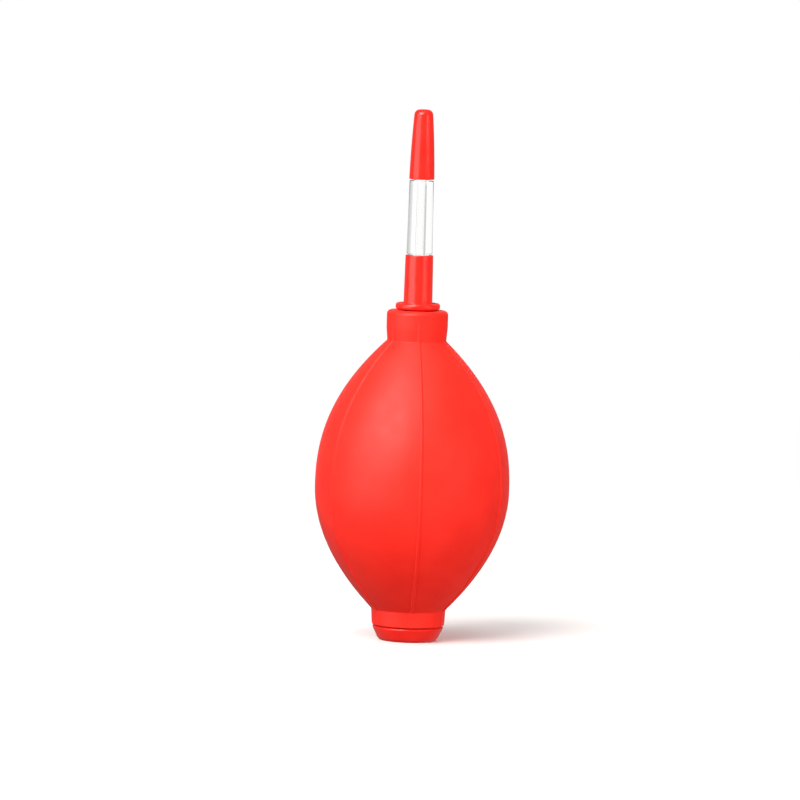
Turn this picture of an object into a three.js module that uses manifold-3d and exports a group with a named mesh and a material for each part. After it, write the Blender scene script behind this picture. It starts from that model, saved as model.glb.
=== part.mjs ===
// Dust blower bulb for watchmakers: a silicone squeeze bulb with a push-in nozzle on top and an inlet valve in its foot.
// Millimetres, +Z up. The origin is the centre of the foot's flat underside, and the thumb presses on the -Y side.

import * as THREE from "three";
import { mergeVertices } from "three/addons/utils/BufferGeometryUtils.js";
import Module from "manifold-3d";

const wasm = await Module();
wasm.setup();

// ---- Driving dimensions ----

const GAP = 0.3; // between two pieces that rest on each other
const PRESS_GAP = 0.2; // radial gap of a push fit
const TURN_STEPS = 32; // facets round a small turned piece
const BORE_STEPS = 12; // facets round a drilled hole

// Bulb
const BULB_R = 30.2;
const BULB_WIDEST_Z = 47.6;
const BULB_WALL = 2.5;
const UPPER_POWER = 2.3; // how late the flank falls away from the widest circle towards the neck
const LOWER_POWER = 2.0; // and towards the collar
const FLANK_STEPS = 9;
const COLLAR = { bottomZ: 4.75, topZ: 9.7, bottomR: 11.2, topR: 11.6, boreR: 9.2, boreTopZ: 10.9 };
const NECK = { bottomZ: 93.4, topZ: 102.8, bottomR: 9.15, topR: 9.5, boreR: 5.2, boreBottomZ: 93.8 };
const NECK_BULGE_Z = 97.5; // where the neck reaches its full radius
const NECK_EDGE_R = 1.2;
const MOUTH_CHAMFER = 0.4;

// Ribs along the bulb's meridians
const RIBS = 6;
const RIB_HEIGHT = 0.35;
const RIB_HALF_WIDTH_DEG = 1.3;
const COLUMNS_PER_RIB = 8;

// Squeeze walls: the oval patches of the bulb's wall that the thumb (-Y) and the fingers (+Y) push in
const SQUEEZE_HALF_WIDTH = 10;
const SQUEEZE_HALF_HEIGHT = 14;
const SQUEEZE_STEPS = 28;

// Nozzle plug
const FLANGE = { bottomZ: NECK.topZ + 0.6, thickness: 1.7, r: 6.9 };
const STEM = { bottomZ: 91, endR: 4.1, rootR: 4.5, barbR: 5.0, topR: 4.8 };
const BARB_HEIGHT = 2.7;
const BARBS = 3;
const SLEEVE = { topZ: 119.9, bottomR: 4.45, topR: 4.3, socketR: 3.3, socketZ: 110.5 };
const PLUG_BORE_R = 1.6;

// Nozzle tube
const TUBE = { topZ: 143.1, bottomR: 4.0, topR: 3.75, chamfer: 0.2, bottomBoreR: 1.4, topBoreR: 1.2 };
const TUBE_TAIL_Z = SLEEVE.socketZ + 0.5;
const TUBE_HEAD = { topZ: 149.8, r: 2.55 };

// Nozzle tip
const TIP = { topZ: 165, bottomR: 3.9, shoulderR: 2.6, shoulderDrop: 1.2, boreR: 0.9, mouthR: 1.15 };

// Foot and inlet valve
const FOOT = { topZ: 4.35, topR: 11.05, bottomR: 9.5, edgeR: 0.9, cupR: 6.95 };
const BARREL = { topZ: 13, r: 8.7, barbR: 9.0, boreR: 7.4, ledgeZ: 6.1 };
const COVER = { bottomZ: 0.4, thickness: 1.0, r: 6.7, holeR: 0.85, holeCircleR: 3.9, holes: 6 };
const FILTER = { thickness: 1.7, r: 6.6 };
const SEAT = { thickness: 1.2, r: 7.1, pinHoleR: 1.2, portR: 1.2, portCircleR: 3.7, ports: 6 };
const RIVET = { shankR: 0.9, headR: 1.9, beadR: 1.6, headHeight: 0.8 };
const FLAP = { thickness: 0.8, r: 6.0, holeR: 1.15, lift: 1.2 };

// ---- Shared shapes ----

const point = (r, z) => new THREE.Vector2(r, z);

// Points along an arc of a turned profile, its centre at (r, z). Angles are in degrees, and 90 points up.
function arc(r, z, radius, fromDeg, toDeg, steps) {
  return Array.from({ length: steps + 1 }, (_, i) => {
    const angle = THREE.MathUtils.degToRad(fromDeg + ((toDeg - fromDeg) * i) / steps);
    return point(r + radius * Math.cos(angle), z + radius * Math.sin(angle));
  });
}

// A closed profile turned about Z. The profile runs anticlockwise, seen with Z up and r to the right.
function turned(profile, steps = TURN_STEPS) {
  const onAxis = profile[0].x === 0;
  const outline = onAxis ? profile : [...profile, profile[0]];
  return new THREE.LatheGeometry(outline, steps).rotateX(Math.PI / 2);
}

// A plain ring or, with innerR 0, a plain disc.
function ring(innerR, outerR, bottomZ, topZ) {
  return turned([point(innerR, bottomZ), point(outerR, bottomZ), point(outerR, topZ), point(innerR, topZ)]);
}

function drill(radius, bottomZ, topZ, x, y) {
  const height = topZ - bottomZ;
  return new THREE.CylinderGeometry(radius, radius, height, BORE_STEPS)
    .rotateX(Math.PI / 2)
    .translate(x, y, bottomZ + height / 2);
}

function solidOf(geometry) {
  const bare = geometry.clone();
  bare.deleteAttribute("normal");
  bare.deleteAttribute("uv");
  const merged = mergeVertices(bare, 1e-4);
  const vertProperties = new Float32Array(merged.attributes.position.array);
  const triVerts = new Uint32Array(merged.index.array);
  return new wasm.Manifold(new wasm.Mesh({ numProp: 3, vertProperties, triVerts }));
}

function geometryOf(solid) {
  const { vertProperties, triVerts } = solid.getMesh();
  const geometry = new THREE.BufferGeometry();
  geometry.setAttribute("position", new THREE.BufferAttribute(vertProperties, 3));
  geometry.setIndex(new THREE.BufferAttribute(triVerts, 1));
  return geometry;
}

// Cuts a circle of equal round holes right through a disc.
function withHoleCircle(solid, { count, holeR, circleR, bottomZ, topZ }) {
  let cut = solid;
  for (let i = 0; i < count; i++) {
    const angle = (2 * Math.PI * i) / count;
    const hole = drill(holeR, bottomZ - 1, topZ + 1, circleR * Math.sin(angle), -circleR * Math.cos(angle));
    cut = cut.subtract(solidOf(hole));
  }
  return cut;
}

// ---- Bulb ----

// Points down one flank, from the bulb's widest circle to its end at (r, z), the given depth inside the surface.
function flank({ r, z, power, depth }) {
  const height = z - BULB_WIDEST_Z;
  const inset = BULB_R - r;
  return Array.from({ length: FLANK_STEPS + 1 }, (_, i) => {
    const t = i / FLANK_STEPS;
    const slope = (power * inset * t ** (power - 1)) / height;
    const inwards = depth / Math.hypot(1, slope);
    return point(BULB_R - inset * t ** power - inwards, BULB_WIDEST_Z + height * t - inwards * slope);
  });
}

function bulbProfile() {
  const upper = { r: NECK.bottomR, z: NECK.bottomZ, power: UPPER_POWER };
  const lower = { r: COLLAR.topR, z: COLLAR.topZ, power: LOWER_POWER };
  const outside = [
    point(COLLAR.boreR, COLLAR.bottomZ),
    point(COLLAR.bottomR, COLLAR.bottomZ),
    ...flank({ ...lower, depth: 0 }).reverse(),
    ...flank({ ...upper, depth: 0 }).slice(1),
    point(NECK.topR, NECK_BULGE_Z),
    ...arc(NECK.topR - NECK_EDGE_R, NECK.topZ - NECK_EDGE_R, NECK_EDGE_R, 0, 90, 3),
  ];
  const inside = [
    point(NECK.boreR + MOUTH_CHAMFER, NECK.topZ),
    point(NECK.boreR, NECK.topZ - MOUTH_CHAMFER),
    point(NECK.boreR, NECK.boreBottomZ),
    ...flank({ ...upper, depth: BULB_WALL }).reverse(),
    ...flank({ ...lower, depth: BULB_WALL }).slice(1),
    point(COLLAR.boreR, COLLAR.boreTopZ),
  ];
  return { points: [...outside, ...inside], outsideCount: outside.length };
}

// The bulb's wall, with its columns of vertices gathered at each rib so that the rib is a narrow ridge.
function bulbWall() {
  const { points, outsideCount } = bulbProfile();
  const columns = RIBS * COLUMNS_PER_RIB;
  const geometry = new THREE.LatheGeometry([...points, points[0]], columns);
  const position = geometry.attributes.position;
  const rows = points.length + 1;
  const sector = 360 / RIBS;
  const between = (sector - 2 * RIB_HALF_WIDTH_DEG) / (COLUMNS_PER_RIB - 2);
  for (let i = 0; i < position.count; i++) {
    const column = Math.floor(i / rows) % columns;
    const row = i % rows;
    const step = column % COLUMNS_PER_RIB;
    const inSector = step === 0 ? 0 : RIB_HALF_WIDTH_DEG + between * (step - 1);
    const angle = THREE.MathUtils.degToRad(Math.floor(column / COLUMNS_PER_RIB) * sector + inSector);
    const { x: r, y: z } = points[row % points.length];
    const onBody = row < outsideCount && z > COLLAR.topZ && z < NECK.bottomZ;
    const ribbed = r + (step === 0 && onBody ? RIB_HEIGHT : 0);
    position.setXYZ(i, ribbed * Math.sin(angle), z, ribbed * Math.cos(angle));
  }
  return solidOf(geometry.rotateX(Math.PI / 2));
}

// An oval prism along Y, from the axis out through one wall: side is -1 for the thumb's wall and 1 for the fingers'.
function squeezePrism(side, clearance) {
  const oval = new THREE.Shape().absellipse(
    0,
    0,
    SQUEEZE_HALF_WIDTH + clearance,
    SQUEEZE_HALF_HEIGHT + clearance,
    0,
    2 * Math.PI,
  );
  const outline = new THREE.Shape(oval.getSpacedPoints(SQUEEZE_STEPS).slice(1));
  const prism = new THREE.ExtrudeGeometry(outline, { depth: 2 * BULB_R, bevelEnabled: false });
  return solidOf(prism.rotateX((-side * Math.PI) / 2).translate(0, 0, BULB_WIDEST_Z));
}

const wall = bulbWall();
const bulbShell = () => geometryOf(wall.subtract(squeezePrism(-1, GAP)).subtract(squeezePrism(1, GAP)));
const squeezeWall = (side) => geometryOf(wall.intersect(squeezePrism(side, 0)));

// ---- Nozzle ----

function nozzlePlug() {
  const flangeTopZ = FLANGE.bottomZ + FLANGE.thickness;
  const rim = FLANGE.thickness / 2;
  const barbs = Array.from({ length: BARBS }, (_, i) => {
    const z = STEM.bottomZ + i * BARB_HEIGHT;
    const footR = i === 0 ? STEM.endR : STEM.rootR;
    return [point(footR, z), point(STEM.barbR, z + BARB_HEIGHT - 0.2)];
  }).flat();
  return turned([
    point(PLUG_BORE_R, STEM.bottomZ),
    ...barbs,
    point(STEM.topR, STEM.bottomZ + BARBS * BARB_HEIGHT),
    point(STEM.topR, FLANGE.bottomZ),
    ...arc(FLANGE.r - rim, FLANGE.bottomZ + rim, rim, -90, 90, 6),
    point(SLEEVE.bottomR + 0.3, flangeTopZ),
    point(SLEEVE.bottomR, flangeTopZ + 0.3),
    point(SLEEVE.topR, SLEEVE.topZ - 0.2),
    point(SLEEVE.topR - 0.2, SLEEVE.topZ),
    point(SLEEVE.socketR, SLEEVE.topZ),
    point(SLEEVE.socketR, SLEEVE.socketZ),
    point(PLUG_BORE_R, SLEEVE.socketZ),
  ]);
}

function nozzleTube() {
  const shoulderZ = SLEEVE.topZ + GAP;
  const tailR = SLEEVE.socketR - PRESS_GAP;
  const { topZ, bottomR, topR, chamfer } = TUBE;
  return turned([
    point(TUBE.bottomBoreR, TUBE_TAIL_Z),
    point(tailR, TUBE_TAIL_Z),
    point(tailR, shoulderZ),
    point(bottomR - chamfer, shoulderZ),
    point(bottomR, shoulderZ + chamfer),
    point(topR, topZ - chamfer),
    point(topR - chamfer, topZ),
    point(TUBE_HEAD.r, topZ),
    point(TUBE_HEAD.r, TUBE_HEAD.topZ),
    point(TUBE.topBoreR, TUBE_HEAD.topZ),
  ]);
}

function nozzleTip() {
  const bottomZ = TUBE.topZ + GAP;
  const shoulderZ = TIP.topZ - TIP.shoulderDrop;
  const rise = shoulderZ - bottomZ;
  const drop = TIP.bottomR - TIP.shoulderR;
  const sideRadius = (rise * rise + drop * drop) / (2 * drop);
  const sideDeg = THREE.MathUtils.radToDeg(Math.asin(rise / sideRadius));
  const socketR = TUBE_HEAD.r + PRESS_GAP;
  const socketZ = TUBE_HEAD.topZ + GAP;
  return turned([
    point(socketR, bottomZ),
    ...arc(TIP.bottomR - sideRadius, bottomZ, sideRadius, 0, sideDeg, 6),
    ...arc(TIP.shoulderR - TIP.shoulderDrop, shoulderZ, TIP.shoulderDrop, 30, 90, 3),
    point(TIP.mouthR, TIP.topZ),
    point(TIP.boreR, TIP.topZ - TIP.mouthR + TIP.boreR),
    point(TIP.boreR, socketZ + socketR - TIP.boreR),
    point(socketR, socketZ),
  ]);
}

// ---- Foot and inlet valve ----

// The foot ring and the barbed barrel above it, which holds the valve and pushes up into the bulb's collar.
function baseHousing() {
  const { topZ, topR, bottomR, edgeR, cupR } = FOOT;
  return turned([
    point(cupR, 0),
    ...arc(bottomR - edgeR, edgeR, edgeR, -90, -20, 4),
    point(topR, topZ - 0.3),
    point(topR - 0.3, topZ),
    point(BARREL.r, topZ),
    point(BARREL.r, 9),
    point(BARREL.barbR, 9.2),
    point(BARREL.r, 11),
    point(BARREL.barbR, 11.2),
    point(BARREL.boreR + 0.7, BARREL.topZ),
    point(BARREL.boreR, BARREL.topZ),
    point(BARREL.boreR, BARREL.ledgeZ),
    point(cupR, BARREL.ledgeZ),
  ]);
}

function intakeCover() {
  const topZ = COVER.bottomZ + COVER.thickness;
  const disc = solidOf(ring(COVER.holeR, COVER.r, COVER.bottomZ, topZ));
  const { holes: count, holeR, holeCircleR: circleR, bottomZ } = COVER;
  return geometryOf(withHoleCircle(disc, { count, holeR, circleR, bottomZ, topZ }));
}

function filterPad() {
  const bottomZ = COVER.bottomZ + COVER.thickness + GAP;
  return ring(0, FILTER.r, bottomZ, bottomZ + FILTER.thickness);
}

const seatBottomZ = BARREL.ledgeZ + GAP;
const seatTopZ = seatBottomZ + SEAT.thickness;
const flapTopZ = seatTopZ + GAP + FLAP.thickness;

function valveSeat() {
  const disc = solidOf(ring(SEAT.pinHoleR, SEAT.r, seatBottomZ, seatTopZ));
  const { ports: count, portR: holeR, portCircleR: circleR } = SEAT;
  return geometryOf(withHoleCircle(disc, { count, holeR, circleR, bottomZ: seatBottomZ, topZ: seatTopZ }));
}

const inletFlap = () => ring(FLAP.holeR, FLAP.r, seatTopZ + GAP, flapTopZ);

// The rivet stands in the seat, guides the flap and stops its lift.
function flapRivet() {
  const beadTopZ = seatBottomZ - GAP;
  const headBottomZ = flapTopZ + FLAP.lift + GAP;
  return turned([
    point(0, beadTopZ - RIVET.headHeight),
    point(RIVET.beadR - 0.3, beadTopZ - RIVET.headHeight),
    point(RIVET.beadR, beadTopZ),
    point(RIVET.shankR, beadTopZ),
    point(RIVET.shankR, headBottomZ),
    point(RIVET.headR, headBottomZ),
    point(RIVET.headR - 0.5, headBottomZ + RIVET.headHeight),
    point(0, headBottomZ + RIVET.headHeight),
  ]);
}

// ---- Materials and assembly ----

const redSilicone = new THREE.MeshStandardMaterial({ color: 0xe5261f, roughness: 0.55, metalness: 0 });
const redPlastic = new THREE.MeshStandardMaterial({ color: 0xe21d18, roughness: 0.25, metalness: 0 });
const clearPlastic = new THREE.MeshStandardMaterial({
  color: 0xf4f7f8,
  roughness: 0.05,
  metalness: 0,
  transparent: true,
  opacity: 0.3,
});
const palePlastic = new THREE.MeshStandardMaterial({ color: 0xd9d7d0, roughness: 0.4, metalness: 0 });
const darkFoam = new THREE.MeshStandardMaterial({ color: 0x3a3c3e, roughness: 0.95, metalness: 0 });
const paleRubber = new THREE.MeshStandardMaterial({ color: 0xc9c6bd, roughness: 0.7, metalness: 0 });

const pieces = [
  ["bulb_shell", bulbShell, redSilicone],
  ["front_squeeze_wall", () => squeezeWall(-1), redSilicone],
  ["back_squeeze_wall", () => squeezeWall(1), redSilicone],
  ["nozzle_plug", nozzlePlug, redPlastic],
  ["nozzle_tube", nozzleTube, clearPlastic],
  ["nozzle_tip", nozzleTip, redPlastic],
  ["base_housing", baseHousing, redPlastic],
  ["intake_cover", intakeCover, redPlastic],
  ["filter_pad", filterPad, darkFoam],
  ["valve_seat", valveSeat, palePlastic],
  ["flap_rivet", flapRivet, palePlastic],
  ["inlet_flap", inletFlap, paleRubber],
];

const blower = new THREE.Group();
for (const [name, shape, material] of pieces) {
  const mesh = new THREE.Mesh(shape(), material);
  mesh.name = name;
  blower.add(mesh);
}

export default blower;
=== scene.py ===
"""The looks of the dust blower bulb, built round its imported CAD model.

Outlines are written in millimetres, and MM turns them into Blender's metres. The thumb presses on -Y.
"""

import math

import bmesh
import bpy
import numpy as np
from mathutils import Matrix, Vector


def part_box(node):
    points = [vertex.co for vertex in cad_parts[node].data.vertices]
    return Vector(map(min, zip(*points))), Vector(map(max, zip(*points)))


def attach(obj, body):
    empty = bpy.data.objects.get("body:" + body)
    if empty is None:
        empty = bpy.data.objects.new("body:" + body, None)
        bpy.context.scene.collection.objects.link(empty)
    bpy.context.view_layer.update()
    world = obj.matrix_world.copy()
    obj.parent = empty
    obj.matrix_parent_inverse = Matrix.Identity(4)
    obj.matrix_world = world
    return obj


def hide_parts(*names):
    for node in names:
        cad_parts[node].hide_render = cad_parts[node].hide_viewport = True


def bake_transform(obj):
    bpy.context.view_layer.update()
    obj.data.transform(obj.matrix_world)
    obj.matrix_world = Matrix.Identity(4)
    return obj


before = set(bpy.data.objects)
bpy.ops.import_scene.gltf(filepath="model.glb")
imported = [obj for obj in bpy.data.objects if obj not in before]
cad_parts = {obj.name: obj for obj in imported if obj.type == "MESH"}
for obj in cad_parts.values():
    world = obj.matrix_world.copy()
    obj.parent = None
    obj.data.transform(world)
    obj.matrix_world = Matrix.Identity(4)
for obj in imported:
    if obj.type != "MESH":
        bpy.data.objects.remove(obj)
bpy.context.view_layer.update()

MM = 0.001
ROUND_STEPS = 96
HOLE_STEPS = 32
SHARP_ANGLE = math.radians(40)

# ---- Shared shapes ----


def corner_arc(before, corner, after, fillet, steps=6):
    """The arc of radius fillet that rounds off one corner of a turned outline."""
    corner = np.array(corner)
    to_before = np.array(before) - corner
    to_after = np.array(after) - corner
    to_before = to_before / np.linalg.norm(to_before)
    to_after = to_after / np.linalg.norm(to_after)
    half = math.acos(max(-1.0, min(1.0, float(to_before @ to_after)))) / 2
    if fillet <= 0 or half > math.pi / 2 - 0.01:
        return [tuple(corner)]
    middle = to_before + to_after
    centre = corner + middle / np.linalg.norm(middle) * fillet / math.sin(half)
    start = corner + to_before * fillet / math.tan(half) - centre
    end = corner + to_after * fillet / math.tan(half) - centre
    turn = math.pi - 2 * half
    points = []
    for i in range(steps + 1):
        t = i / steps
        mixed = (start * math.sin((1 - t) * turn) + end * math.sin(t * turn)) / math.sin(turn)
        points.append(tuple(centre + mixed))
    return points


def rounded(corners):
    """An outline with its corners rounded. A corner is (r, z), which stays sharp, or (r, z, fillet)."""
    places = [c[:2] for c in corners]
    outline = []
    for i, corner in enumerate(corners):
        fillet = corner[2] if len(corner) > 2 else 0
        before = places[i - 1]
        after = places[(i + 1) % len(places)]
        outline += corner_arc(before, corner[:2], after, fillet)
    return outline


def new_object(name, mesh):
    piece = bpy.data.objects.new(name, mesh)
    bpy.context.scene.collection.objects.link(piece)
    return piece


def new_piece(made, mesh, merge):
    """The piece that made holds: points closer than merge joined, faces outwards, and shaded smooth."""
    bmesh.ops.remove_doubles(made, verts=made.verts, dist=merge)
    bmesh.ops.recalc_face_normals(made, faces=made.faces)
    made.to_mesh(mesh)
    made.free()
    for polygon in mesh.polygons:
        polygon.use_smooth = True
    mesh.set_sharp_from_angle(angle=SHARP_ANGLE)
    return new_object(mesh.name, mesh)


def turned(name, corners, steps=ROUND_STEPS):
    """A piece turned about Z from an outline that closes on itself, or that starts and ends on the axis."""
    outline = rounded(corners)
    made = bmesh.new()
    columns = []
    for i in range(steps):
        angle = 2 * math.pi * i / steps
        columns.append(
            [
                made.verts.new((r * MM * math.sin(angle), -r * MM * math.cos(angle), z * MM))
                for r, z in outline
            ]
        )
    last = len(outline) if outline[0][0] > 1e-6 else len(outline) - 1
    for i, column in enumerate(columns):
        following = columns[(i + 1) % steps]
        for j in range(last):
            k = (j + 1) % len(outline)
            made.faces.new((column[j], following[j], following[k], column[k]))
    return new_piece(made, bpy.data.meshes.new(name), merge=1e-7)


def on_circle(radius, count):
    """The centres of a ring of holes."""
    angles = [2 * math.pi * i / count for i in range(count)]
    return [(radius * math.sin(a), -radius * math.cos(a)) for a in angles]


def drilled_disc(name, radius, low, high, holes, edge=0.12):
    """A disc with round holes, its edges eased, from circles (x, y, r) in millimetres."""
    curve = bpy.data.curves.new(name, "CURVE")
    curve.dimensions = "2D"
    curve.fill_mode = "BOTH"
    curve.extrude = ((high - low) / 2 - edge) * MM
    curve.bevel_depth = edge * MM
    curve.bevel_resolution = 3
    curve.offset = -edge * MM
    for x, y, r in [(0, 0, radius), *holes]:
        steps = ROUND_STEPS if r == radius else HOLE_STEPS
        spline = curve.splines.new("POLY")
        spline.points.add(steps - 1)
        spline.use_cyclic_u = True
        for i, place in enumerate(spline.points):
            angle = 2 * math.pi * i / steps
            place.co = ((x + r * math.cos(angle)) * MM, (y + r * math.sin(angle)) * MM, 0, 1)
    source = bpy.data.objects.new(name + "_outline", curve)
    bpy.context.scene.collection.objects.link(source)
    bpy.context.view_layer.update()
    evaluated = source.evaluated_get(bpy.context.evaluated_depsgraph_get())
    mesh = bpy.data.meshes.new_from_object(evaluated)
    bpy.data.objects.remove(source)
    mesh.name = name
    mesh.transform(Matrix.Translation((0, 0, (low + high) / 2 * MM)))
    made = bmesh.new()
    made.from_mesh(mesh)
    return new_piece(made, mesh, merge=1e-6)


# ---- Materials ----


class Nodes:
    """A short way to write one material's node tree, with a Principled shader at its end."""

    def __init__(self, name):
        self.material = bpy.data.materials.new(name)
        self.material.use_nodes = True
        self.tree = self.material.node_tree
        self.shader = self.tree.nodes["Principled BSDF"]
        self.place = self.add("ShaderNodeTexCoord").outputs["Object"]

    def add(self, kind, **values):
        node = self.tree.nodes.new(kind)
        for key, value in values.items():
            setattr(node, key, value)
        return node

    def link(self, source, target):
        self.tree.links.new(source, target)

    def noise(self, size_mm, detail):
        """Noise with features of about this size."""
        node = self.add("ShaderNodeTexNoise")
        node.inputs["Scale"].default_value = 1 / (size_mm * MM)
        node.inputs["Detail"].default_value = detail
        self.link(self.place, node.inputs["Vector"])
        return node.outputs["Fac"]

    def spread(self, source, low, high, start=0.3, end=0.7):
        """The source's values from start to end, spread from low to high."""
        node = self.add("ShaderNodeMapRange")
        node.inputs["From Min"].default_value = start
        node.inputs["From Max"].default_value = end
        node.inputs["To Min"].default_value = low
        node.inputs["To Max"].default_value = high
        self.link(source, node.inputs["Value"])
        return node.outputs["Result"]

    def colour(self, source, *stops):
        """A colour ramp from (position, (r, g, b)) stops."""
        ramp = self.add("ShaderNodeValToRGB")
        elements = ramp.color_ramp.elements
        while len(elements) < len(stops):
            elements.new(0.5)
        for element, (position, rgb) in zip(elements, stops):
            element.position = position
            element.color = (*rgb, 1)
        self.link(source, ramp.inputs["Fac"])
        self.link(ramp.outputs["Color"], self.shader.inputs["Base Color"])

    def bump(self, source, height_mm, strength, under=None):
        """The source as relief on the surface, on top of the relief under it."""
        node = self.add("ShaderNodeBump")
        node.inputs["Distance"].default_value = height_mm * MM
        node.inputs["Strength"].default_value = strength
        self.link(source, node.inputs["Height"])
        if under is not None:
            self.link(under, node.inputs["Normal"])
        self.link(node.outputs["Normal"], self.shader.inputs["Normal"])
        return node.outputs["Normal"]

    def set(self, **values):
        """Sets the shader's own sockets, with _ for each space in a name."""
        for key, value in values.items():
            self.shader.inputs[key.replace("_", " ")].default_value = value


def red_silicone():
    """Satin moulded silicone, with a fine grain, slow waves and a faint clouding of the colour."""
    m = Nodes("red silicone")
    m.colour(m.noise(9, 3), (0.3, (0.77, 0.0165, 0.0085)), (0.7, (0.83, 0.0205, 0.0110)))
    m.link(m.spread(m.noise(4, 4), 0.46, 0.56), m.shader.inputs["Roughness"])
    waves = m.bump(m.noise(14, 2), 0.12, 0.35)
    m.bump(m.noise(0.3, 3), 0.02, 0.7, waves)
    m.set(IOR=1.43, Specular_IOR_Level=0.4)
    m.set(Sheen_Weight=0.03, Sheen_Roughness=0.35, Sheen_Tint=(1.0, 0.8, 0.78, 1))
    return m.material


def red_plastic():
    """Glossy moulded plastic with faint waves in its gloss."""
    m = Nodes("red plastic")
    m.colour(m.noise(5, 2), (0.3, (0.74, 0.015, 0.009)), (0.7, (0.80, 0.019, 0.011)))
    m.link(m.spread(m.noise(2.5, 2), 0.19, 0.26), m.shader.inputs["Roughness"])
    m.bump(m.noise(3.5, 1), 0.004, 0.2)
    m.set(IOR=1.5)
    return m.material


def clear_plastic():
    """Polished clear tube with the slow waves of drawn plastic."""
    m = Nodes("clear plastic")
    m.bump(m.noise(20, 0), 0.004, 0.1)
    m.set(Base_Color=(0.99, 0.99, 0.985, 1), Roughness=0.0, IOR=1.49, Transmission_Weight=1.0)
    return m.material


def valve_plastic():
    """Undyed off-white plastic."""
    m = Nodes("valve plastic")
    m.colour(m.noise(4, 2), (0.3, (0.66, 0.64, 0.59)), (0.7, (0.72, 0.71, 0.67)))
    m.link(m.spread(m.noise(1, 2), 0.32, 0.45), m.shader.inputs["Roughness"])
    m.bump(m.noise(0.4, 2), 0.01, 0.4)
    m.set(IOR=1.49)
    return m.material


FOAM_CELL = 0.7


def filter_foam():
    """Open-cell foam: paler struts, with painted shade in the dark hollows of the cells between them."""
    m = Nodes("filter foam")
    cells = m.add("ShaderNodeTexVoronoi", feature="DISTANCE_TO_EDGE")
    cells.inputs["Scale"].default_value = 1 / (FOAM_CELL * MM)
    m.link(m.place, cells.inputs["Vector"])
    # Painted shade: the cell centres, which the bump below sinks as hollows, are coloured near-black and the
    # struts pale grey.
    m.colour(cells.outputs["Distance"], (0.0, (0.11, 0.115, 0.12)), (0.35, (0.012, 0.013, 0.014)))
    height = m.spread(cells.outputs["Distance"], 1, 0, 0, 0.4)
    m.bump(height, 0.25, 0.9)
    m.set(Roughness=0.9)
    return m.material


def flap_rubber():
    """Undyed silicone rubber, matt."""
    m = Nodes("flap rubber")
    m.colour(m.noise(3, 2), (0.3, (0.60, 0.57, 0.50)), (0.7, (0.67, 0.64, 0.57)))
    m.link(m.spread(m.noise(1, 2), 0.5, 0.62), m.shader.inputs["Roughness"])
    m.bump(m.noise(0.3, 2), 0.01, 0.4)
    m.set(IOR=1.43, Sheen_Weight=0.2)
    return m.material


FINISHES = {
    "red_silicone": red_silicone(),
    "red_plastic": red_plastic(),
    "clear_plastic": clear_plastic(),
    "valve_plastic": valve_plastic(),
    "filter_foam": filter_foam(),
    "flap_rubber": flap_rubber(),
}


def finish_piece(piece, slot, *nodes):
    """Gives the piece the material of its slot, and hides the CAD nodes it stands for."""
    piece.data.materials.clear()
    piece.data.materials.append(FINISHES[slot])
    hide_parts(*nodes)


# ---- Bulb ----

bulb_low, bulb_high = (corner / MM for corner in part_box("bulb_shell"))
BULB_R = bulb_high.x
BULB_WALL = 2.5
WIDEST_Z = 47.6
NECK = {"bottom_r": 9.15, "r": 9.5, "bottom_z": 93.4, "bulge_z": 97.5, "top_z": bulb_high.z}
NECK_BORE = {"r": 5.2, "bottom_z": 93.8}
COLLAR = {"bottom_r": 11.25, "r": 11.6, "bottom_z": bulb_low.z, "top_z": 9.7}
COLLAR_BORE = {"r": 9.2, "top_z": 10.9}
UPPER_POWER = 2.3
LOWER_POWER = 2.0
FLANK_STEPS = 34

RIBS = 6
RIB_HEIGHT = 0.4
RIB_FLAT = 0.16
RIB_HALF_WIDTH = 0.55
NECK_RIB_SHARE = 0.55
NECK_RIB_LENGTH = 8.5
COLLAR_RIB_SHARE = 0.25

# The wall is made of columns of points. Some stand at these distances beside each rib's crown, and the others
# divide the plain stretches between the ribs into equal steps.
RIB_SIDE = [RIB_FLAT, 0.24, 0.32, 0.4, 0.48, RIB_HALF_WIDTH, 0.7, 1.0]
RIB_OFFSETS = [*(-offset for offset in reversed(RIB_SIDE)), 0, *RIB_SIDE]
PLAIN_STEPS = 14

# The fingers' side of the bulb lies between these two ribs, counted from the front one, which is 0.
BACK_RIBS = (2, 4)


def smoothstep(t):
    """Rises smoothly from 0 to 1 as t does, and stays there beyond."""
    t = np.clip(t, 0, 1)
    return t * t * (3 - 2 * t)


def flank(end_r, end_z, power, depth):
    """One flank from the widest circle to its end, the given depth inside the surface.

    Each point is (r, z, r of the outer surface).
    """
    height = end_z - WIDEST_Z
    inset = BULB_R - end_r
    points = []
    for i in range(FLANK_STEPS + 1):
        t = i / FLANK_STEPS
        slope = power * inset * t ** (power - 1) / height
        inwards = depth / math.hypot(1, slope)
        outer_r = BULB_R - inset * t**power
        points.append((outer_r - inwards, WIDEST_Z + height * t - inwards * slope, outer_r))
    return points


def plain(points):
    """Turned outline points as (r, z, r of the outer surface), for stretches that no dent reaches."""
    return [(r, z, r) for r, z in points]


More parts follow.
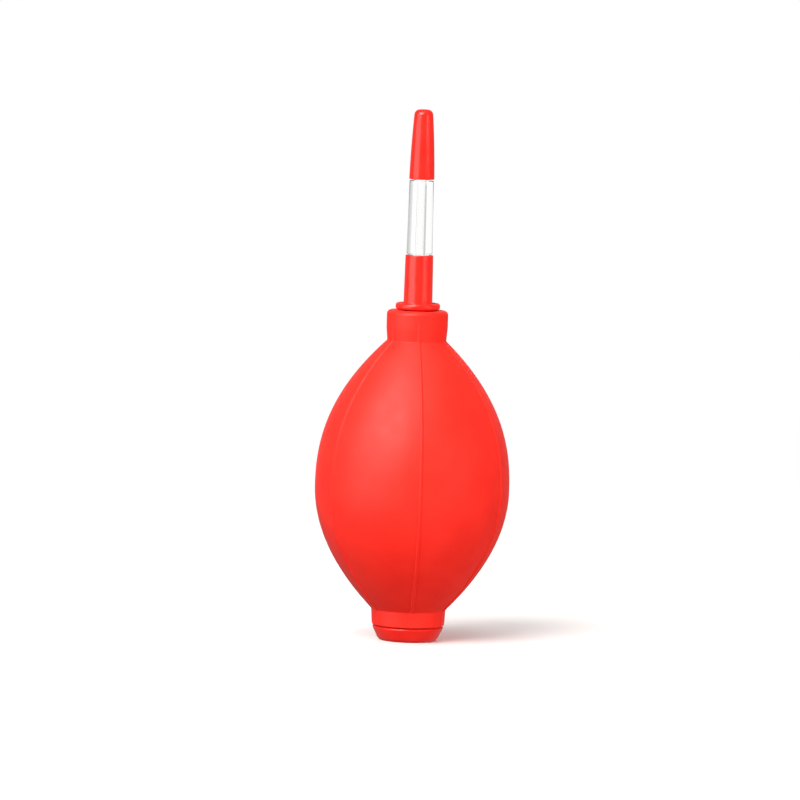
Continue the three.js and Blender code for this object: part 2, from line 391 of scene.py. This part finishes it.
def bulb_outline():
    """The outline of the bulb's wall, and how many of its points are on the outside."""
    upper = (NECK["bottom_r"], NECK["bottom_z"], UPPER_POWER)
    lower = (COLLAR["r"], COLLAR["top_z"], LOWER_POWER)
    low_flank = flank(*lower, 0)[::-1]
    high_flank = flank(*upper, 0)
    collar = rounded(
        [
            low_flank[1][:2],
            (COLLAR_BORE["r"], COLLAR_BORE["top_z"]),
            (COLLAR_BORE["r"], COLLAR["bottom_z"], 0.3),
            (COLLAR["bottom_r"], COLLAR["bottom_z"], 0.45),
            (COLLAR["r"], COLLAR["top_z"], 0.35),
        ]
    )[2:]
    neck = rounded(
        [
            high_flank[-2][:2],
            (NECK["bottom_r"], NECK["bottom_z"], 0.45),
            (NECK["r"], NECK["bulge_z"], 12),
            (NECK["r"], NECK["top_z"], 1.25),
            (NECK_BORE["r"], NECK["top_z"], 0.4),
            (NECK_BORE["r"], NECK_BORE["bottom_z"]),
        ]
    )[1:]
    outside = plain(collar) + low_flank[1:] + high_flank[1:-1] + plain(neck)
    inside = flank(*upper, BULB_WALL)[::-1] + flank(*lower, BULB_WALL)[1:]
    return outside + inside + plain([(COLLAR_BORE["r"], COLLAR_BORE["top_z"])]), len(outside)


def rib_share(z):
    """How much of the rib's height is left at height z. It fades out up the neck. The collar has a trace."""
    on_neck = smoothstep((NECK["bottom_z"] + NECK_RIB_LENGTH - z) / NECK_RIB_LENGTH) * NECK_RIB_SHARE
    above_collar = np.where(z > NECK["bottom_z"], on_neck, 1.0)
    return np.where(z < COLLAR["top_z"], COLLAR_RIB_SHARE, above_collar)


def rib_relief(offset):
    """The rib's cross-section: a low ridge with a flat crown and soft shoulders."""
    return RIB_HEIGHT * (1 - smoothstep((abs(offset) - RIB_FLAT) / (RIB_HALF_WIDTH - RIB_FLAT)))


def bulb_column(outline, outside_count, rib, offset, share):
    """One column of the bulb's wall, and how far forward the outer surface is at each of its points.

    It stands offset millimetres beside a rib, or at a share of the way along the plain stretch after the rib.
    """
    r = np.array([p[0] for p in outline])
    z = np.array([p[1] for p in outline])
    surface_r = np.array([p[2] for p in outline])
    sector = 2 * math.pi / RIBS
    beside = RIB_OFFSETS[-1] / surface_r
    if share is None:
        angle = rib * sector + offset / surface_r
        raised = rib_relief(offset) * rib_share(z)
        raised[outside_count:] = 0
    else:
        angle = rib * sector + beside + share * (sector - 2 * beside)
        raised = np.zeros(len(r))
    place = np.stack([(r + raised) * np.sin(angle), -(r + raised) * np.cos(angle), z], axis=1)
    return place * MM, surface_r * np.cos(angle) * MM


def bulb_wall():
    """The columns of the bulb's whole wall, and how far forward the outer surface is at each point."""
    outline, outside_count = bulb_outline()
    spots = []
    for rib in range(RIBS):
        spots += [(rib, offset, None) for offset in RIB_OFFSETS]
        spots += [(rib, 0, i / PLAIN_STEPS) for i in range(1, PLAIN_STEPS)]
    columns = [bulb_column(outline, outside_count, *spot) for spot in spots]
    return np.array([c[0] for c in columns]), np.array([c[1] for c in columns])


def wall_normals(columns):
    """The normal of the whole wall at each of its points, from the points beside it."""
    across = np.roll(columns, -1, axis=0) - np.roll(columns, 1, axis=0)
    along = np.roll(columns, -1, axis=1) - np.roll(columns, 1, axis=1)
    normals = np.cross(across, along)
    return normals / np.linalg.norm(normals, axis=2, keepdims=True)


def bulb_part(name, columns, normals, chosen):
    """The part of the wall between two of its columns, closed by a cut face at each end."""
    rows = columns.shape[1]
    count = len(chosen)
    vertices = columns[chosen].reshape(-1, 3)
    smooth = normals[chosen].reshape(-1, 3)
    faces = []
    for i in range(count - 1):
        for j in range(rows):
            k = (j + 1) % rows
            faces.append((i * rows + j, (i + 1) * rows + j, (i + 1) * rows + k, i * rows + k))
    first_cut = tuple(range(rows))
    last_cut = tuple((count - 1) * rows + j for j in reversed(range(rows)))
    mesh = bpy.data.meshes.new(name)
    mesh.from_pydata(vertices.tolist(), [], [*faces, first_cut, last_cut])
    mesh.update()
    loop_normals = []
    for polygon in mesh.polygons:
        polygon.use_smooth = True
        is_cut = polygon.loop_total > 4
        loop_normals += [polygon.normal if is_cut else smooth[v] for v in polygon.vertices]
    mesh.normals_split_custom_set([tuple(n) for n in loop_normals])
    return new_object(name, mesh)


def squeeze(piece):
    """Bakes the piece's placing into its mesh."""
    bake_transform(piece)


def make_bulb():
    """The bulb's wall in two halves that meet along two ribs."""
    columns, forward = bulb_wall()
    normals = wall_normals(columns)
    per_rib = len(columns) // RIBS
    crown = RIB_OFFSETS.index(0)
    first, last = (rib * per_rib + crown for rib in BACK_RIBS)
    back = list(range(first, last + 1))
    front = [i % len(columns) for i in range(last, first + len(columns) + 1)]
    front_wall = bulb_part("bulb_thumb_side", columns, normals, front)
    finish_piece(front_wall, "red_silicone", "bulb_shell", "front_squeeze_wall")
    squeeze(front_wall)
    back_wall = bulb_part("bulb_finger_side", columns, normals, back)
    finish_piece(back_wall, "red_silicone", "back_squeeze_wall")
    squeeze(back_wall)


# ---- Nozzle ----


def make_nozzle_plug():
    """From the bore round the barbed stem, the flange and the sleeve to the socket that holds the tube."""
    low, high = (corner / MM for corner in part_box("nozzle_plug"))
    bore_r = 1.6
    barbs = 3
    barb_r = 5.0
    barb_height = 2.7
    stem_r = 4.8
    stem_z = low.z + barbs * barb_height
    flange_r = high.x
    flange_bottom = NECK["top_z"] + 0.25
    flange_top = flange_bottom + 2.0
    groove_z = flange_top - 0.28
    socket_r = 3.3
    socket_z = 110.5
    corners = [(bore_r, low.z, 0.15)]
    for i in range(barbs):
        foot_r = 4.1 if i == 0 else 4.5
        z = low.z + i * barb_height
        corners += [(foot_r, z, 0.1), (barb_r, z + barb_height - 0.35, 0.12)]
    corners += [
        (4.55, stem_z - 0.1, 0.2),
        (stem_r, stem_z + 0.6, 0.3),
        (stem_r, flange_bottom, 0.25),
        (flange_r, flange_bottom, 0.75),
        (flange_r, flange_top, 0.75),
        (5.75, flange_top, 0.25),
        (5.45, groove_z, 0.2),
        (4.47, groove_z, 0.3),
        (4.3, high.z, 0.28),
        (socket_r, high.z, 0.12),
        (socket_r, socket_z, 0.2),
        (bore_r, socket_z, 0.1),
    ]
    plug = turned("nozzle_plug_moulding", corners)
    finish_piece(plug, "red_plastic", "nozzle_plug")
    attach(plug, "nozzle")


def make_nozzle_tube():
    """The tube's foot is in the sleeve and its spigot in the tip. Its thick body shows between them."""
    low, high = (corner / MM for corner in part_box("nozzle_tube"))
    body_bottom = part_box("nozzle_plug")[1].z / MM + 0.4
    body_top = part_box("nozzle_tip")[0].z / MM - 0.45
    foot_r = 3.1
    spigot_r = 2.55
    corners = [
        (1.4, low.z, 0.1),
        (foot_r, low.z, 0.2),
        (foot_r, body_bottom, 0.1),
        (4.0, body_bottom, 0.2),
        (3.75, body_top, 0.2),
        (spigot_r, body_top, 0.1),
        (spigot_r, high.z, 0.2),
        (1.2, high.z, 0.1),
    ]
    tube = turned("nozzle_tube_clear", corners)
    finish_piece(tube, "clear_plastic", "nozzle_tube")
    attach(tube, "nozzle")


def make_nozzle_tip():
    """A taper that bulges a little, with a socket for the tube below and a narrow outlet above."""
    low, high = (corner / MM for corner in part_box("nozzle_tip"))
    bottom_r = high.x
    top_r = 2.8
    bulge = 0.17
    side_steps = 12
    socket_r = 2.75
    socket_z = 150.1
    outlet_r = 0.9
    outlet_z = 152.0
    side = []
    for i in range(1, side_steps):
        t = i / side_steps
        r = bottom_r + (top_r - bottom_r) * t + 4 * bulge * t * (1 - t)
        side.append((r, low.z + (high.z - low.z) * t))
    corners = [
        (socket_r, low.z, 0.1),
        (bottom_r, low.z, 0.22),
        *side,
        (top_r, high.z, 1.7),
        (outlet_r, high.z, 0.12),
        (outlet_r, outlet_z, 0.3),
        (socket_r, socket_z, 0.2),
    ]
    tip = turned("nozzle_tip_moulding", corners)
    finish_piece(tip, "red_plastic", "nozzle_tip")
    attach(tip, "nozzle")


# ---- Foot and inlet valve ----


def make_base_housing():
    """The tapered foot ring, with the barbed barrel above it and the ledge for the valve seat inside."""
    low, high = (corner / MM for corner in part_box("base_housing"))
    ring_z = 4.35
    shoulder_z = 4.6
    barrel_r = 8.7
    barb_r = 9.0
    hollow_r = 6.95
    ledge_z = 6.1
    seat_r = 7.4
    corners = [
        (hollow_r, low.z, 0.25),
        (7.6, low.z),
        (8.62, low.z, 0.3),
        (9.5, 0.9, 0.5),
        (high.x, 4.1, 0.3),
        (high.x - 0.2, ring_z, 0.12),
        (10.5, ring_z, 0.1),
        (10.3, shoulder_z, 0.1),
        (barrel_r, shoulder_z, 0.15),
    ]
    for barb_z in (9.0, 11.0):
        corners += [(barrel_r, barb_z, 0.15), (barb_r, barb_z + 0.2, 0.08)]
    corners += [
        (8.1, high.z, 0.3),
        (seat_r, high.z, 0.15),
        (seat_r, ledge_z, 0.1),
        (hollow_r, ledge_z, 0.1),
    ]
    housing = turned("base_housing_moulding", corners)
    finish_piece(housing, "red_plastic", "base_housing")
    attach(housing, "base")


def make_intake_cover():
    low, high = (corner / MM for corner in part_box("intake_cover"))
    hole_r = 0.85
    holes = [(x, y, hole_r) for x, y in [(0, 0), *on_circle(3.9, 6)]]
    cover = drilled_disc("intake_cover_moulding", high.x, low.z, high.z, holes)
    finish_piece(cover, "red_plastic", "intake_cover")
    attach(cover, "base")


def make_filter_pad():
    low, high = (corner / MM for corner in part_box("filter_pad"))
    corners = [(0, low.z), (high.x * 0.5, low.z), (high.x, low.z, 0.5), (high.x, high.z, 0.5), (0, high.z)]
    pad = turned("filter_pad_foam", corners)
    finish_piece(pad, "filter_foam", "filter_pad")
    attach(pad, "base")


def make_valve_seat():
    low, high = (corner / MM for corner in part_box("valve_seat"))
    hole_r = 1.2
    holes = [(x, y, hole_r) for x, y in [(0, 0), *on_circle(3.7, 6)]]
    seat = drilled_disc("valve_seat_moulding", high.x, low.z, high.z, holes)
    finish_piece(seat, "valve_plastic", "valve_seat")
    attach(seat, "base")


def make_flap_rivet():
    low, high = (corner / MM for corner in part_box("flap_rivet"))
    head = 0.8
    lower_head_r = 1.6
    shank_r = 0.9
    corners = [
        (0, low.z),
        (lower_head_r, low.z, 0.5),
        (lower_head_r, low.z + head, 0.1),
        (shank_r, low.z + head, 0.1),
        (shank_r, high.z - head, 0.1),
        (high.x, high.z - head, 0.2),
        (high.x - 0.25, high.z, 0.6),
        (0, high.z),
    ]
    rivet = turned("flap_rivet_moulding", corners, steps=64)
    finish_piece(rivet, "valve_plastic", "flap_rivet")
    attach(rivet, "base")


def make_inlet_flap():
    low, high = (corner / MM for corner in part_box("inlet_flap"))
    hole_r = 1.15
    rim_height = 0.35
    corners = [
        (hole_r, low.z, 0.15),
        (high.x, low.z, 0.1),
        (high.x, low.z + rim_height, 0.15),
        (high.x - 1.2, high.z, 0.8),
        (hole_r, high.z, 0.15),
    ]
    flap = turned("inlet_flap_disc", corners)
    finish_piece(flap, "flap_rubber", "inlet_flap")
    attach(flap, "flap")


make_bulb()
make_nozzle_plug()
make_nozzle_tube()
make_nozzle_tip()
make_base_housing()
make_intake_cover()
make_filter_pad()
make_valve_seat()
make_flap_rivet()
make_inlet_flap()

# ---- Camera ----

CAMERA_AZIMUTH = math.radians(-5)
CAMERA_ELEVATION = math.radians(5)
CAMERA_ROLL = math.radians(1.8)
LENS_MM = 300
SENSOR_MM = 36
VIEW_WIDTH = 248.1 * MM
AIM_Z = 74.7 * MM
AIM_LEFT = 4.6 * MM


def direction(azimuth, elevation):
    """The unit vector away from the blower. Azimuth 0 is in front of it, and 90 degrees is on its right."""
    level = math.cos(elevation)
    return Vector((math.sin(azimuth) * level, -math.cos(azimuth) * level, math.sin(elevation)))


def make_camera():
    data = bpy.data.cameras.new("camera")
    data.lens = LENS_MM
    data.sensor_width = SENSOR_MM
    data.clip_start = 0.05
    data.clip_end = 60
    camera = bpy.data.objects.new("camera", data)
    bpy.context.scene.collection.objects.link(camera)
    back = direction(CAMERA_AZIMUTH, CAMERA_ELEVATION)
    right = Vector((math.cos(CAMERA_AZIMUTH), math.sin(CAMERA_AZIMUTH), 0))
    target = Vector((0, 0, AIM_Z)) - right * AIM_LEFT
    distance = VIEW_WIDTH * LENS_MM / SENSOR_MM
    turn = (-back).to_track_quat("-Z", "Y").to_matrix().to_4x4()
    place = Matrix.Translation(target + back * distance)
    camera.matrix_world = place @ turn @ Matrix.Rotation(CAMERA_ROLL, 4, "Z")
    bpy.context.scene.camera = camera


# ---- Floor, light and background ----

FLOOR_R = 4.0
FLOOR_FADE = (0.08, 0.6)
LIGHT_AIM = Vector((0, 0, 0.08))


def make_floor():
    """A plain pale floor that fades into the background between the two distances of FLOOR_FADE."""
    mesh = bpy.data.meshes.new("floor")
    made = bmesh.new()
    bmesh.ops.create_circle(made, cap_ends=True, segments=ROUND_STEPS, radius=FLOOR_R)
    made.to_mesh(mesh)
    made.free()
    floor = new_object("floor", mesh)
    m = Nodes("pale floor")
    m.set(Base_Color=(0.86, 0.86, 0.86, 1), Roughness=0.6, Specular_IOR_Level=0.2)
    distance = m.add("ShaderNodeVectorMath", operation="LENGTH")
    m.link(m.place, distance.inputs[0])
    fade = m.add("ShaderNodeMapRange", interpolation_type="SMOOTHERSTEP")
    fade.inputs["From Min"].default_value, fade.inputs["From Max"].default_value = FLOOR_FADE
    fade.inputs["To Min"].default_value = 1
    fade.inputs["To Max"].default_value = 0
    m.link(distance.outputs["Value"], fade.inputs["Value"])
    m.link(fade.outputs["Result"], m.shader.inputs["Alpha"])
    floor.data.materials.append(m.material)
    floor.visible_diffuse = False
    floor.visible_glossy = False
    floor.visible_shadow = False


def softbox(name, azimuth, elevation, distance, size, watts, reflected=True):
    """A rectangular light that aims at the bulb, at an azimuth and elevation in degrees."""
    data = bpy.data.lights.new(name, "AREA")
    data.color = (1.0, 0.98, 0.95)
    data.shape = "RECTANGLE"
    data.size, data.size_y = size
    data.energy = watts
    light = bpy.data.objects.new(name, data)
    bpy.context.scene.collection.objects.link(light)
    light.visible_camera = False
    light.visible_glossy = reflected
    light.visible_transmission = False
    away = direction(math.radians(azimuth), math.radians(elevation))
    light.location = LIGHT_AIM + away * distance
    light.rotation_mode = "QUATERNION"
    light.rotation_quaternion = (-away).to_track_quat("-Z", "Y")


# The room that lights the blower besides the softboxes: dim in front of it, with a paler wall behind it.
ROOM_STRENGTH = 0.128
WALL_STRENGTH = 0.256
ROOM_TO_WALL = (-0.3, 0.7)

# What the clear tube shows: white, with a grey screen on each side, which draws the lines of its walls.
SCREEN_AZIMUTH = math.radians(80)
WHITE_STRENGTH = 1.056
RIGHT_SCREEN = {"edge": (0.62, 0.94), "strength": 0.632}
LEFT_SCREEN = {"edge": (-0.95, -0.72), "share": 0.5}


def ramp(tree, source, start_end, low_high):
    """The source's values between two ends, spread smoothly over other values."""
    node = tree.nodes.new("ShaderNodeMapRange")
    node.interpolation_type = "SMOOTHSTEP"
    node.inputs["From Min"].default_value, node.inputs["From Max"].default_value = start_end
    node.inputs["To Min"].default_value, node.inputs["To Max"].default_value = low_high
    tree.links.new(source, node.inputs["Value"])
    return node.outputs["Result"]


def white_background(tree, strength):
    node = tree.nodes.new("ShaderNodeBackground")
    node.inputs["Color"].default_value = (1, 1, 1, 1)
    tree.links.new(strength, node.inputs["Strength"])
    return node.outputs["Background"]


def for_rays(tree, kind, theirs, others):
    """One background for rays of a kind, and another for all others."""
    path = tree.nodes.new("ShaderNodeLightPath")
    mix = tree.nodes.new("ShaderNodeMixShader")
    tree.links.new(path.outputs[kind], mix.inputs["Fac"])
    tree.links.new(others, mix.inputs[1])
    tree.links.new(theirs, mix.inputs[2])
    return mix.outputs["Shader"]


def room_light(tree, place):
    """The dim room, which grows paler towards the wall behind the blower."""
    axes = tree.nodes.new("ShaderNodeSeparateXYZ")
    tree.links.new(place, axes.inputs["Vector"])
    strength = ramp(tree, axes.outputs["Y"], ROOM_TO_WALL, (ROOM_STRENGTH, WALL_STRENGTH))
    return white_background(tree, strength)


def seen_in_tube(tree, place):
    """White, less the two screens, by how far a direction points to the right or to the left."""
    towards = tree.nodes.new("ShaderNodeVectorMath")
    towards.operation = "DOT_PRODUCT"
    towards.inputs[1].default_value = (math.sin(SCREEN_AZIMUTH), math.cos(SCREEN_AZIMUTH), 0)
    tree.links.new(place, towards.inputs[0])
    side = towards.outputs["Value"]
    both = tree.nodes.new("ShaderNodeMath")
    both.operation = "MULTIPLY"
    right = ramp(tree, side, RIGHT_SCREEN["edge"], (WHITE_STRENGTH, RIGHT_SCREEN["strength"]))
    left = ramp(tree, side, LEFT_SCREEN["edge"], (LEFT_SCREEN["share"], 1.0))
    tree.links.new(right, both.inputs[0])
    tree.links.new(left, both.inputs[1])
    return white_background(tree, both.outputs["Value"])


def make_world():
    """White to the camera, white between screens to rays that leave the tube, and the room to all others."""
    world = bpy.data.worlds.new("studio")
    world.use_nodes = True
    tree = world.node_tree
    seen = tree.nodes["Background"]
    seen.inputs["Color"].default_value = (1, 1, 1, 1)
    seen.inputs["Strength"].default_value = 1.0
    place = tree.nodes.new("ShaderNodeTexCoord").outputs["Generated"]
    lit = for_rays(tree, "Is Transmission Ray", seen_in_tube(tree, place), room_light(tree, place))
    surface = for_rays(tree, "Is Camera Ray", seen.outputs["Background"], lit)
    tree.links.new(surface, tree.nodes["World Output"].inputs["Surface"])
    bpy.context.scene.world = world


make_camera()
make_floor()
make_world()
softbox("key", -42, 40, 2.0, (1.5, 1.5), 64)
softbox("window", -62, 6, 2.0, (2.0, 1.5), 20)
softbox("strip", 40, 12, 2.0, (0.6, 0.4), 2.8)
softbox("fill", 58, 5, 2.0, (0.8, 1.4), 27, reflected=False)
softbox("bounce", 20, -28, 2.0, (1.6, 1.0), 13, reflected=False)
softbox("top", -10, 75, 1.6, (1.2, 1.2), 12, reflected=False)
softbox("back", 175, 12, 2.0, (1.8, 1.6), 34, reflected=False)

bpy.context.scene.view_settings.view_transform = "Standard"
bpy.context.scene.view_settings.look = "None"
